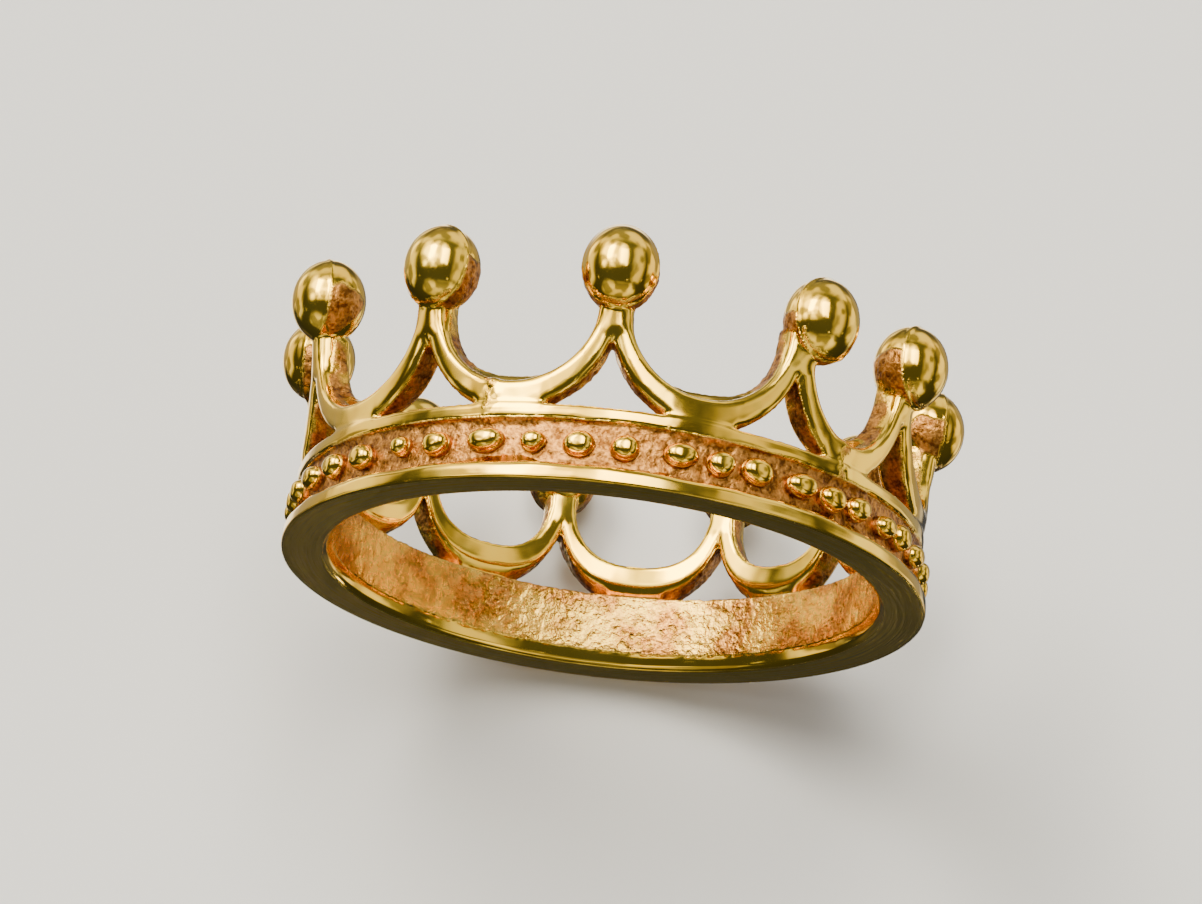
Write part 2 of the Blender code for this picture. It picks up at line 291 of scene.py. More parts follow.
def finial_field(azimuth, radius, height, point):
    """A ball and its neck."""
    x, y = radius * np.sin(azimuth), -radius * np.cos(azimuth)
    centre = BALLS[point]
    up = (height - centre[2]) * BALL_RADIUS / BALL_HALF_HEIGHT
    off = (x - centre[0], y - centre[1])
    distance = np.sqrt(off[0] ** 2 + off[1] ** 2 + up ** 2) + 1e-9
    ball_azimuth = math.atan2(centre[0], -centre[1])
    outwards = (off[0] * math.sin(ball_azimuth) - off[1] * math.cos(ball_azimuth)) / distance
    off_ridge = (outwards - RIDGE_OFFSET) * BALL_RADIUS
    ridge = RIDGE_HEIGHT * np.exp(-(off_ridge / RIDGE_HALF_WIDTH) ** 2)
    ball = distance - (BALL_RADIUS - BALL_RELIEF) - ridge

    foot_azimuth = POINT_AZIMUTHS[point]
    foot = (NECK_FOOT_RADIUS * math.sin(foot_azimuth), -NECK_FOOT_RADIUS * math.cos(foot_azimuth),
            NECK_FOOT_HEIGHT)
    axis = centre - np.array(foot)
    to_foot = (x - foot[0], y - foot[1], height - foot[2])
    along = (to_foot[0] * axis[0] + to_foot[1] * axis[1] + to_foot[2] * axis[2]) / axis.dot(axis)
    along = np.clip(along, 0.0, 1.0)
    away = [to_foot[side] - along * axis[side] for side in range(3)]
    neck = np.sqrt(away[0] ** 2 + away[1] ** 2 + away[2] ** 2) - NECK_RADIUS
    return ball, neck


def nearest_point(azimuth):
    """The index of the crown's point nearest to each azimuth."""
    middles = np.sort(BAY_MIDDLES % TURN)
    starts = np.array([((middle - POINT_AZIMUTHS) % TURN).argmin() for middle in middles])
    return starts[np.searchsorted(middles, azimuth % TURN) % POINTS]


def ring_field(azimuth, radius, height):
    """The whole ring: negative in the metal, positive outside it, in millimetres."""
    band = band_field(azimuth, radius, height)
    nearest = nearest_point(azimuth)
    crown = np.empty_like(band)
    for point in range(POINTS):
        near = nearest == point
        where = azimuth[near], radius[near], height[near]
        ball, neck = finial_field(*where, point)
        stem = soft_min(scallops_field(*where, point), neck, 0.18)
        crown[near] = soft_min(stem, ball, 0.07)
    return soft_min(band, crown, 0.16)


def field_gradient(azimuth, radius, height):
    """Unit gradient of the field in local (round, out, up) directions, and its length."""
    step = 0.004
    turn = step / radius
    round_ = ring_field(azimuth + turn, radius, height) - ring_field(azimuth - turn, radius, height)
    out = ring_field(azimuth, radius + step, height) - ring_field(azimuth, radius - step, height)
    up = ring_field(azimuth, radius, height + step) - ring_field(azimuth, radius, height - step)
    gradient = np.stack((round_, out, up), axis=1) / (2.0 * step)
    length = np.linalg.norm(gradient, axis=1)
    return gradient / np.maximum(length, 1e-6)[:, None], np.clip(length, 0.3, 2.0)


# ---------------------------------------------------------------- from the field to a mesh

CELL_CORNERS = np.array(list(product((0, 1), repeat=3)))
AZIMUTHS_AT_ONCE = 64


def field_on_grid(azimuths, radii, heights):
    """The field at every node of the grid, worked out a few azimuths at a time."""
    field = np.empty((len(azimuths), len(radii), len(heights)), dtype=np.float32)
    radius_grid, height_grid = np.meshgrid(radii, heights, indexing="ij")
    for low in range(0, len(azimuths), AZIMUTHS_AT_ONCE):
        part = azimuths[low:low + AZIMUTHS_AT_ONCE]
        shape = (len(part),) + radius_grid.shape
        grids = (part[:, None, None], radius_grid, height_grid)
        where = [np.broadcast_to(grid, shape) for grid in grids]
        field[low:low + AZIMUTHS_AT_ONCE] = ring_field(*where)
    return field


def net_vertices(field):
    """A number for each cell that the surface passes through, and its vertex in grid steps."""
    wrapped = np.concatenate((field, field[:1]), axis=0)
    rounds, outs, ups = field.shape[0], field.shape[1] - 1, field.shape[2] - 1
    corners = [wrapped[i:i + rounds, j:j + outs, k:k + ups] for i, j, k in CELL_CORNERS]
    inside_count = sum((corner < 0.0).astype(np.int8) for corner in corners)
    mixed = (inside_count > 0) & (inside_count < len(CELL_CORNERS))
    cells = np.argwhere(mixed)
    number = np.full(mixed.shape, -1, dtype=np.int64)
    number[mixed] = np.arange(len(cells))

    values = np.stack([corner[mixed] for corner in corners], axis=1)
    total = np.zeros((len(cells), 3))
    crossings = np.zeros(len(cells))
    for first, second in combinations(range(len(CELL_CORNERS)), 2):
        edge = CELL_CORNERS[second] - CELL_CORNERS[first]
        if np.abs(edge).sum() != 1:
            continue
        crossed = (values[:, first] < 0.0) != (values[:, second] < 0.0)
        gap = values[crossed, first] - values[crossed, second]
        share = (values[crossed, first] / gap)[:, None]
        total[crossed] += CELL_CORNERS[first] + edge * share
        crossings[crossed] += 1.0
    return number, cells + total / crossings[:, None]


def net_quads(field, number):
    """A quad round each grid edge that the surface crosses, facing out of the metal."""
    inside = field < 0.0
    edge_ends = (
        (inside, np.roll(inside, -1, axis=0)),
        (inside[:, :-1], inside[:, 1:]),
        (inside[:, :, :-1], inside[:, :, 1:]),
    )
    quads = []
    for edge_axis, (near, far) in enumerate(edge_ends):
        edges = np.argwhere(near != far)
        flip = near[tuple(edges.T)]
        first, second = [axis for axis in range(3) if axis != edge_axis]
        loop = []
        for step_first, step_second in ((0, 0), (-1, 0), (-1, -1), (0, -1)):
            around = edges.copy()
            around[:, first] += step_first
            around[:, second] += step_second
            around[:, 0] %= len(field)
            loop.append(number[tuple(around.T)])
        quad = np.stack(loop, axis=1)
        if edge_axis == 1:
            flip = ~flip
        quad[flip] = quad[flip][:, ::-1]
        quads.append(quad)
    return np.concatenate(quads)


def surface_net(cell):
    """Quads round the field's zero level, on a grid that runs round, out from and up the ring."""
    steps_round = int(round(TURN * OUTER_RADIUS / cell))
    azimuths = np.arange(steps_round) * TURN / steps_round - math.pi
    radii = np.arange(BORE_RADIUS - 3.3 * cell, BALLS_REACH + 3.5 * cell, cell)
    crest_height = BALLS[:, 2].max() + BALL_HALF_HEIGHT
    heights = np.arange(-2.5 * cell, crest_height + 3.5 * cell, cell)
    field = field_on_grid(azimuths, radii, heights)
    number, place = net_vertices(field)
    azimuth = azimuths[0] + place[:, 0] * TURN / steps_round
    radius = radii[0] + place[:, 1] * cell
    height = heights[0] + place[:, 2] * cell
    return np.stack((azimuth, radius, height), axis=1), net_quads(field, number)


def settle(points, rounds=3):
    """Move points along the gradient until they lie on the field's zero level."""
    for _ in range(rounds):
        normal, length = field_gradient(*points.T)
        move = -(ring_field(*points.T) / length)[:, None] * normal
        points[:, 0] += move[:, 0] / points[:, 1]
        points[:, 1] += move[:, 1]
        points[:, 2] += move[:, 2]
    return points


def to_xyz(points):
    azimuth, radius, height = points.T
    return np.stack((radius * np.sin(azimuth), -radius * np.cos(azimuth), height), axis=1)


def turn_to_xyz(points, vectors):
    """Local (round, out, up) vectors as world vectors."""
    sine, cosine = np.sin(points[:, 0]), np.cos(points[:, 0])
    round_, out, up = vectors.T
    return np.stack((round_ * cosine + out * sine, round_ * sine - out * cosine, up), axis=1)


# ---------------------------------------------------------------- surface finish

def grain(positions, scale, seed):
    """Smooth noise of one size, about -1 to 1, at each position in millimetres."""
    shift = Vector((seed * 7.31, seed * 3.17, seed * 5.71))
    return np.array([noise.noise(Vector(position) * scale + shift) for position in positions])


def finish_of(points, normals, positions):
    """How rough-cast (copper), how brushed and how far in the bore each vertex is, 0 to 1.

    It goes by where the vertex lies and faces: polishing reaches only what stands proud.
    """
    azimuth, radius, height = points.T
    _, out, up = normals.T
    patchy = grain(positions, 1.6, 1)

    in_band = 1.0 - smooth_step(height, BAND_HEIGHT - 0.05, BAND_HEIGHT + 0.15)
    in_ball = smooth_step(height, SCALLOP_TOP + 0.25, SCALLOP_TOP + 0.55)
    in_crown = np.clip(1.0 - in_band - in_ball, 0.0, 1.0)

    between_rails = smooth_step(height, LOWER_RAIL_HEIGHT - 0.08, LOWER_RAIL_HEIGHT + 0.05)
    between_rails *= 1.0 - smooth_step(height, UPPER_RAIL_BOTTOM - 0.05, UPPER_RAIL_BOTTOM + 0.08)
    channel = between_rails * smooth_step(radius, SLEEVE_RADIUS - 0.1, SLEEVE_RADIUS)
    bore = smooth_step(-out, 0.3, 0.8)
    bore *= smooth_step(height, COMFORT_EDGE_HEIGHT, COMFORT_EDGE_HEIGHT + 0.12)
    top = smooth_step(up, 0.5, 0.9) * smooth_step(height, BAND_HEIGHT - 0.1, BAND_HEIGHT - 0.02)
    band = np.clip(channel + bore * 0.75 + top * 0.9, 0.0, 1.0)

    sideways = 1.0 - smooth_step(np.abs(out), 0.30, 0.65)
    behind = 1.0 - smooth_step(radius, 0.952 * OUTER_RADIUS, 0.968 * OUTER_RADIUS)
    wires = sideways * np.clip(0.75 + 0.6 * patchy, 0.0, 1.0)
    wires *= np.maximum(behind, smooth_step(-up, 0.0, 0.4))

    centre = BALLS[nearest_point(azimuth)]
    ball_azimuth = np.arctan2(centre[:, 0], -centre[:, 1])
    away = positions - centre
    away /= np.linalg.norm(away, axis=1)[:, None]
    flank = np.abs(away[:, 0] * np.cos(ball_azimuth) + away[:, 1] * np.sin(ball_azimuth))
    outwards = away[:, 0] * np.sin(ball_azimuth) - away[:, 1] * np.cos(ball_azimuth)
    balls = smooth_step(flank + 0.30 * patchy - 0.30 * away[:, 2], 0.66, 0.80)
    balls *= 1.0 - smooth_step(away[:, 2] + 0.25 * patchy, 0.0, 0.25)
    balls *= 1.0 - smooth_step(outwards, 0.10, 0.30)

    rough = in_band * band + in_crown * wires + in_ball * balls
    rough += 0.55 * seam_near(points) * smooth_step(grain(positions, 2.6, 8), 0.05, 0.35)
    brushed = smooth_step(-up, 0.9, 0.99) * (1.0 - smooth_step(height, 0.02, 0.08))
    return np.clip(rough, 0.0, 1.0), np.clip(brushed, 0.0, 1.0), bore * in_band


SEAM_AZIMUTHS = np.radians((-23.5, 43.5))        # lumpy solder seams across trough and upper rail
SEAM_HALF_WIDTH = 0.22
SEAM_DEPTH = 0.3                                 # inwards from the channel's floor


def seam_near(points):
    """How close each point is to a solder seam, 0 to 1."""
    azimuth, radius, height = points.T
    off = np.abs((azimuth[:, None] - SEAM_AZIMUTHS + math.pi) % TURN - math.pi).min(axis=1)
    seam = np.exp(-(off * OUTER_RADIUS / SEAM_HALF_WIDTH) ** 2)
    seam *= smooth_step(height, UPPER_RAIL_BOTTOM - 0.1, UPPER_RAIL_BOTTOM + 0.1)
    return seam * (radius > FLOOR_RADIUS - SEAM_DEPTH)


BASE_FLAT_HEIGHT = 0.03                          # no relief below this, so the base stays flat


def weather(points, normals, positions, rough):
    """Cast grain on the rough places, and a faint hand-finished waviness on the polished ones."""
    coarse = grain(positions, 3.0, 2)
    fine = grain(positions, 7.0, 3)
    pits = np.minimum(grain(positions, 5.0, 4) + 0.25, 0.0)
    height = rough * (0.020 * coarse + 0.028 * fine + 0.07 * pits)
    height += (1.0 - rough) * (0.012 * grain(positions, 0.9, 5) + 0.004 * grain(positions, 2.4, 6))
    height += seam_near(points) * (0.03 + 0.07 * grain(positions, 3.4, 7))
    height[points[:, 2] < BASE_FLAT_HEIGHT] = 0.0
    return positions + normals * height[:, None]


# ---------------------------------------------------------------- dividing the skin into pieces

SEAM_CLEARANCE = 0.03        # how far above the CAD's joint a piece of the skin is divided


def piece_names(centres):
    """The CAD node that each face belongs to."""
    azimuth, radius, height = centres.T
    offsets = (azimuth[:, None] - POINT_AZIMUTHS + math.pi) % TURN - math.pi
    nearest = np.abs(offsets).argmin(axis=1)
    past = (azimuth[:, None] - POINT_AZIMUTHS) % TURN
    bay = past.argmin(axis=1)
    numbers = np.array([f"{number:02d}" for number in range(1, POINTS + 1)])
    names = np.where(radius < SLEEVE_RADIUS, "shank_sleeve", "upper_rail").astype("<U20")
    outside = radius >= SLEEVE_RADIUS
    strip = outside & (height < UPPER_RAIL_BOTTOM)
    names[strip] = np.char.add("bead_strip_", numbers[bay[strip]])
    names[outside & (height < LOWER_RAIL_HEIGHT)] = "lower_rail"
    scallop = height > BAND_HEIGHT + SEAM_CLEARANCE
    names[scallop] = np.char.add("crown_scallop_", numbers[bay[scallop]])
    finial = height > SCALLOP_TOP + SEAM_CLEARANCE
    names[finial] = np.char.add("ball_finial_", numbers[nearest[finial]])
    return names


CAP_INSET = 0.22         # how far the hidden caps are sunk into the metal, in millimetres


def boundary_loops(faces):
    """The open rims of a patch of quads, each a list of vertices in the patch's own direction."""
    starts = faces.ravel()
    ends = np.roll(faces, -1, axis=1).ravel()
    edges = Counter(zip(starts.tolist(), ends.tolist()))
    following = {}
    for (start, end), count in edges.items():
        unmatched = count - edges.get((end, start), 0)
        if unmatched > 0:
            following.setdefault(start, []).extend([end] * unmatched)
    loops = []
    while following:
        start = min(following)
        loop, here = [], start
        while True:
            loop.append(here)
            onward = following[here]
            here = onward.pop()
            if not onward:
                del following[loop[-1]]
            if here == start:
                break
        loops.append(loop)
    return loops


def hidden_wall(lower, upper, azimuths):
    """Triangles between the two rims of a piece that goes all the way round the ring."""
    tracks = []
    for loop in (lower, upper):
        turned = np.unwrap(azimuths[loop + loop[:1]])
        forward = turned[-1] > turned[0]
        if not forward:
            loop = loop[::-1]
        first = int(np.argmin(azimuths[loop]))
        loop = loop[first:] + loop[:first] + [loop[first]]
        reached = np.maximum.accumulate(np.unwrap(azimuths[loop]))
        tracks.append((loop, reached, forward))
    (one, one_at, one_forward), (two, two_at, _) = tracks
    triangles = []
    i = j = 0
    while i < len(one) - 1 or j < len(two) - 1:
        step_one = j == len(two) - 1 or (i < len(one) - 1 and one_at[i + 1] <= two_at[j + 1])
        if step_one:
            triangle = (one[i + 1], one[i], two[j])
            i += 1
        else:
            triangle = (two[j], two[j + 1], one[i])
            j += 1
        triangles.append(triangle if one_forward else triangle[::-1])
    return triangles


def closing_faces(faces, skin):
    """Extra vertices and triangles that close a patch of the skin, hidden inside the metal."""
    azimuths = skin["points"][:, 0]
    loops = boundary_loops(faces)
    round_ring = [loop for loop in loops if np.ptp(np.unwrap(azimuths[loop])) > math.pi]
    inner = [np.empty((0, 3))]
    triangles = []
    first = len(skin["corners"])
    if len(round_ring) == 2:
        triangles += hidden_wall(round_ring[0], round_ring[1], azimuths)
    for loop in loops:
        if loop in round_ring:
            continue
        sunk = skin["corners"][loop] - CAP_INSET * skin["normals"][loop]
        centre = first + len(loop)
        for step, start in enumerate(loop):
            following = (step + 1) % len(loop)
            end = loop[following]
            triangles.append((end, start, first + step))
            triangles.append((end, first + step, first + following))
            triangles.append((first + following, first + step, centre))
        inner += [sunk, sunk.mean(axis=0)[None]]
        first += len(loop) + 1
    return np.concatenate(inner), triangles


def build_piece(name, faces, skin, material):
    """One closed, named mesh from a patch of the ring's skin."""
    inner, triangles = closing_faces(faces, skin)
    spare = len(inner)
    everything = faces.tolist() + triangles
    used = np.unique(np.concatenate([np.array(face) for face in everything]))
    local = dict(zip(used.tolist(), range(len(used))))
    corners = np.concatenate((skin["corners"], inner))
    normals = np.concatenate((skin["normals"], np.zeros((spare, 3))))
    mesh = bpy.data.meshes.new(name + "_skin")
    mesh_faces = [[local[vertex] for vertex in face] for face in everything]
    mesh.from_pydata((corners[used] * MM).tolist(), [], mesh_faces)
    mesh.polygons.foreach_set("use_smooth", np.ones(len(mesh.polygons), dtype=bool))
    for label in ("rough_cast", "brushed", "bore"):
        values = np.concatenate((skin[label], np.zeros(spare)))
        layer = mesh.attributes.new(label, "FLOAT", "POINT")
        layer.data.foreach_set("value", values[used].astype(np.float32))
    mesh.normals_split_custom_set_from_vertices(normals[used].tolist())
    mesh.materials.append(material)
    piece = bpy.data.objects.new(name + "_skin", mesh)
    bpy.context.scene.collection.objects.link(piece)
    return piece


# Grains that were set or struck unevenly: (strip, grain) to (millimetres sideways, width, height).
UNEVEN_GRAINS = {
    (1, 3): (0.20, 0.68, 0.75), (2, 1): (0.17, 1.22, 0.95), (2, 2): (0.20, 0.84, 0.85),
    (2, 3): (0.10, 1.04, 1.00), (3, 1): (0.22, 1.08, 1.00), (3, 3): (-0.28, 1.10, 1.10),
    (4, 3): (0.30, 0.95, 0.95), (4, 0): (0.00, 1.15, 0.95),
}
GRAIN_SIDES = 32
GRAIN_RINGS = 14
GRAIN_BED_DEPTH = 0.12           # how far a grain goes down below the channel's floor
GRAIN_WIDTH_SCALE = 1.06         # the faceted CAD grain is a little smaller than the round one
GRAIN_HEIGHT_SCALE = 1.04


def bead_mesh(bead, uneven, seed):
    """Vertices (millimetres), roughness and faces of one grain bedded in the strip."""
    azimuth, height, half_width, half_height, outermost = bead
    sideways, width, tall = uneven
    random = np.random.default_rng(seed)
    half_width *= GRAIN_WIDTH_SCALE * width * random.uniform(0.95, 1.05)
    half_height *= GRAIN_HEIGHT_SCALE * tall * random.uniform(0.95, 1.05)
    height += random.uniform(-0.04, 0.04)
    bed = FLOOR_RADIUS - GRAIN_BED_DEPTH
    depth = (outermost - bed) * random.uniform(0.92, 1.0)
    lean = random.uniform(-0.5, 0.5)
    phase = random.uniform(0.0, TURN)
    vertices, finish, faces = [], [], []
    for ring in range(1, GRAIN_RINGS + 1):
        rise = 0.5 * math.pi * (1.0 - ring / GRAIN_RINGS)
        spread = math.cos(rise) ** 0.70
        for side in range(GRAIN_SIDES):
            angle = TURN * side / GRAIN_SIDES
            lump = 1.0 + 0.035 * math.sin(2.0 * angle + phase)
            lump += 0.02 * math.sin(3.0 * angle + 2.0 * phase)
            along = half_width * spread * math.cos(angle) * lump
            up = half_height * spread * math.sin(angle) * lump
            tilt = 1.0 + 0.04 * lean * math.cos(angle) * spread
            out = bed + depth * math.sin(rise) ** 0.75 * tilt
            turn = azimuth + (along + sideways) / FLOOR_RADIUS
            vertices.append((out * math.sin(turn), -out * math.cos(turn), height + up))
            finish.append(1.0 - float(smooth_step(rise, 0.26, 0.44)))
    last = (GRAIN_RINGS - 1) * GRAIN_SIDES
    for low in range(0, last, GRAIN_SIDES):
        high = low + GRAIN_SIDES
        for side in range(GRAIN_SIDES):
            following = (side + 1) % GRAIN_SIDES
            faces.append((low + side, high + side, high + following, low + following))
    crest = len(vertices)
    turn, out = azimuth + sideways / FLOOR_RADIUS, bed + depth
    vertices.append((out * math.sin(turn), -out * math.cos(turn), height))
    finish.append(0.0)
    faces += [(crest, side, (side + 1) % GRAIN_SIDES) for side in range(GRAIN_SIDES)]
    faces.append(tuple(range(last, last + GRAIN_SIDES))[::-1])
    return vertices, finish, faces


def add_beads(piece, number):
    """Join the strip's grains to its skin."""
    builder = bmesh.new()
    builder.from_mesh(piece.data)
    rough_layer = builder.verts.layers.float["rough_cast"]
    for order, bead in enumerate(beads_on(f"bead_strip_{number:02d}", FLOOR_RADIUS)):
        uneven = UNEVEN_GRAINS.get((number, order), (0.0, 1.0, 1.0))
        vertices, finish, faces = bead_mesh(bead, uneven, 10 * number + order)
        corners = []
        for vertex, rough in zip(vertices, finish):
            corner = builder.verts.new(Vector(vertex) * MM)
            corner[rough_layer] = rough
            corners.append(corner)
        for face in faces:
            builder.faces.new([corners[index] for index in face]).smooth = True
    builder.to_mesh(piece.data)
    builder.free()


# ---------------------------------------------------------------- materials

class Nodes:
    """A short way to write a node tree."""

    def __init__(self, tree):
        self.tree = tree

    def add(self, kind, **settings):
        node = self.tree.nodes.new(kind)
        for name, value in settings.items():
            setattr(node, name, value)
        return node

    def link(self, output, socket):
        self.tree.links.new(output, socket)

    def feed(self, sockets, values):
        """Set each socket to its number or colour, or link it to its output."""
        for socket, value in zip(sockets, values):
            if isinstance(value, (int, float, tuple)):
                socket.default_value = value
            else:
                self.link(value, socket)

    def math(self, operation, first, second=0.5):
        node = self.add("ShaderNodeMath", operation=operation)
        self.feed(node.inputs, (first, second))
        return node.outputs[0]

    def plus(self, first, second):
        return self.math("ADD", first, second)

    def times(self, first, second):
        return self.math("MULTIPLY", first, second)

    def mix(self, share, first, second):
        """Blend two colours."""
        node = self.add("ShaderNodeMix", data_type="RGBA")
        self.feed((node.inputs[0], node.inputs[6], node.inputs[7]), (share, first, second))
        return node.outputs[2]

    def noise(self, vector, scale, detail=3.0):
        node = self.add("ShaderNodeTexNoise")
        node.inputs["Scale"].default_value = scale
        node.inputs["Detail"].default_value = detail
        self.link(vector, node.inputs["Vector"])
        return node.outputs["Fac"]

    def ramp(self, value, low, high, curve="LINEAR"):
        node = self.add("ShaderNodeMapRange", clamp=True, interpolation_type=curve)
        node.inputs["From Min"].default_value = low
        node.inputs["From Max"].default_value = high
        self.link(value, node.inputs["Value"])
        return node.outputs["Result"]


# Colours of the gold, linear RGB.
POLISHED_DEEP = (0.97, 0.56, 0.035, 1.0)
POLISHED_LIGHT = (1.0, 0.64, 0.06, 1.0)
COPPER_DEEP = (0.16, 0.058, 0.011, 1.0)
COPPER_LIGHT = (0.70, 0.31, 0.065, 1.0)
WORN_BORE = (1.0, 0.64, 0.10, 1.0)
FILED_BASE = (0.80, 0.62, 0.09, 1.0)

# How fine the noises are, in cells a metre.
SMUDGE_SCALE = 700.0
SCRATCH_SCALE = 1500.0
SPECK_SCALE = 3200.0
FILE_LINE_SCALE = 9000.0
GRIT_SCALE = 9500.0
FILE_LINE_STRETCH = 0.0004       # metres of noise for each radian round the ring
RELIEF_DEPTH = 0.00006


def make_gold(name):
    """Yellow gold: polished, brushed or rough-cast with a copper bloom, as the vertices say."""
    material = bpy.data.materials.new(name)
    material.use_nodes = True
    nodes = Nodes(material.node_tree)
    shader = material.node_tree.nodes["Principled BSDF"]
    shader.inputs["Metallic"].default_value = 1.0
    place = nodes.add("ShaderNodeTexCoord").outputs["Object"]
    rough = nodes.add("ShaderNodeAttribute", attribute_name="rough_cast").outputs["Fac"]
    brushed = nodes.add("ShaderNodeAttribute", attribute_name="brushed").outputs["Fac"]
    bore = nodes.add("ShaderNodeAttribute", attribute_name="bore").outputs["Fac"]

    split = nodes.add("ShaderNodeSeparateXYZ")
    nodes.link(place, split.inputs[0])
    x, y, z = split.outputs
    radius = nodes.math("SQRT", nodes.plus(nodes.math("POWER", x, 2.0), nodes.math("POWER", y, 2.0)))
    turned = nodes.add("ShaderNodeCombineXYZ")
    round_ = nodes.times(nodes.math("ARCTAN2", x, y), FILE_LINE_STRETCH)
    nodes.feed(turned.inputs, (round_, radius, z))

    smudges = nodes.noise(place, SMUDGE_SCALE, 4.0)
    specks = nodes.noise(place, SPECK_SCALE, 5.0)
    grit = nodes.noise(place, GRIT_SCALE, 3.0)
    file_lines = nodes.noise(turned.outputs[0], FILE_LINE_SCALE, 4.0)

    edge = nodes.plus(rough, nodes.times(nodes.math("SUBTRACT", specks, 0.5), 0.9))
    cast = nodes.ramp(edge, 0.25, 0.75)
    gold = nodes.mix(nodes.ramp(smudges, 0.35, 0.65), POLISHED_DEEP, POLISHED_LIGHT)
    mottle = nodes.plus(nodes.times(specks, 0.55), nodes.times(grit, 0.45))
    copper = nodes.mix(nodes.ramp(mottle, 0.40, 0.60), COPPER_DEEP, COPPER_LIGHT)
    worn = nodes.mix(nodes.ramp(smudges, 0.42, 0.58), copper, WORN_BORE)
    copper = nodes.mix(nodes.times(bore, 0.75), copper, worn)
    filed = nodes.mix(nodes.times(brushed, 0.5), gold, FILED_BASE)
    nodes.link(nodes.mix(cast, filed, copper), shader.inputs["Base Color"])

    smudge = nodes.times(nodes.ramp(smudges, 0.4, 0.75), 0.06)
    polished = nodes.plus(0.09, smudge)
    polished = nodes.plus(polished, nodes.times(brushed, 0.22))
    cast_roughness = nodes.plus(0.30, nodes.times(specks, 0.20))
    cast_roughness = nodes.math("SUBTRACT", cast_roughness, nodes.times(bore, 0.14))
    span = nodes.times(nodes.math("SUBTRACT", cast_roughness, polished), cast)
    nodes.link(nodes.plus(polished, span), shader.inputs["Roughness"])

    cast_relief = nodes.times(nodes.plus(specks, nodes.times(grit, 0.7)), cast)
    lines = nodes.times(file_lines, nodes.times(brushed, 1.6))
    scratches = nodes.times(nodes.noise(place, SCRATCH_SCALE, 2.0), 0.05)
    bump = nodes.add("ShaderNodeBump")
    bump.inputs["Strength"].default_value = 0.7
    bump.inputs["Distance"].default_value = RELIEF_DEPTH
    nodes.link(nodes.plus(nodes.plus(cast_relief, lines), scratches), bump.inputs["Height"])
    nodes.link(bump.outputs["Normal"], shader.inputs["Normal"])
    return material


FULL_CELL = 0.075                # the mesh's fineness, in millimetres


def vertex_normals_of(corners, quads):
    """Unit normal of each vertex, from the quads round it weighted by area."""
    across = corners[quads[:, 2]] - corners[quads[:, 0]]
    along = corners[quads[:, 3]] - corners[quads[:, 1]]
    quad_normals = np.cross(across, along)
    normals = np.zeros_like(corners)
    for corner in range(4):
        np.add.at(normals, quads[:, corner], quad_normals)
    return normals / (np.linalg.norm(normals, axis=1)[:, None] + 1e-12)


def quad_centres(points, quads):
    """Middle of each quad in (azimuth, radius, height), for quads across the back seam too."""
    azimuths, radii, heights = (points[quads, column] for column in range(3))
    azimuths = azimuths[:, :1] + (azimuths - azimuths[:, :1] + math.pi) % TURN - math.pi
    return np.stack((azimuths.mean(axis=1), radii.mean(axis=1), heights.mean(axis=1)), axis=1)


def make_ring():
    """Build every piece of the ring's skin and let it stand for its CAD node."""
    points, quads = surface_net(FULL_CELL)
    points = settle(points)
    normals, _ = field_gradient(*points.T)
    corners = to_xyz(points)
    rough, brushed, bore = finish_of(points, normals, corners)
    corners = weather(points, turn_to_xyz(points, normals), corners, rough)
    skin = {"points": points, "corners": corners, "normals": vertex_normals_of(corners, quads),
            "rough_cast": rough, "brushed": brushed, "bore": bore}
    names = piece_names(quad_centres(points, quads))

    polished = make_gold("polished_gold")
    recessed = make_gold("recessed_gold")
    for name in sorted(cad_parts):
        is_strip = name.startswith("bead_strip")
        piece = build_piece(name, quads[names == name], skin, recessed if is_strip else polished)
        if is_strip:
            add_beads(piece, int(name[-2:]))
        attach(piece, "root")
        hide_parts(name)


# ---------------------------------------------------------------- the studio

STAGE_COLOUR = (0.72, 0.71, 0.69, 1.0)
STAGE_SPREAD = 60.0              # how wide the floor and the board are, in ring diagonals
FLOOR_GAP = 0.00002
BOARD_GAP = 0.1 * MM


def plane_object(name, size, material):
    """A square in the XY plane, facing up."""
    mesh = bpy.data.meshes.new(name)
    half = 0.5 * size
    corners = [(-half, -half, 0.0), (half, -half, 0.0), (half, half, 0.0), (-half, half, 0.0)]
    mesh.from_pydata(corners, [], [(0, 1, 2, 3)])
    mesh.materials.append(material)
    piece = bpy.data.objects.new(name, mesh)
    bpy.context.scene.collection.objects.link(piece)
    return piece


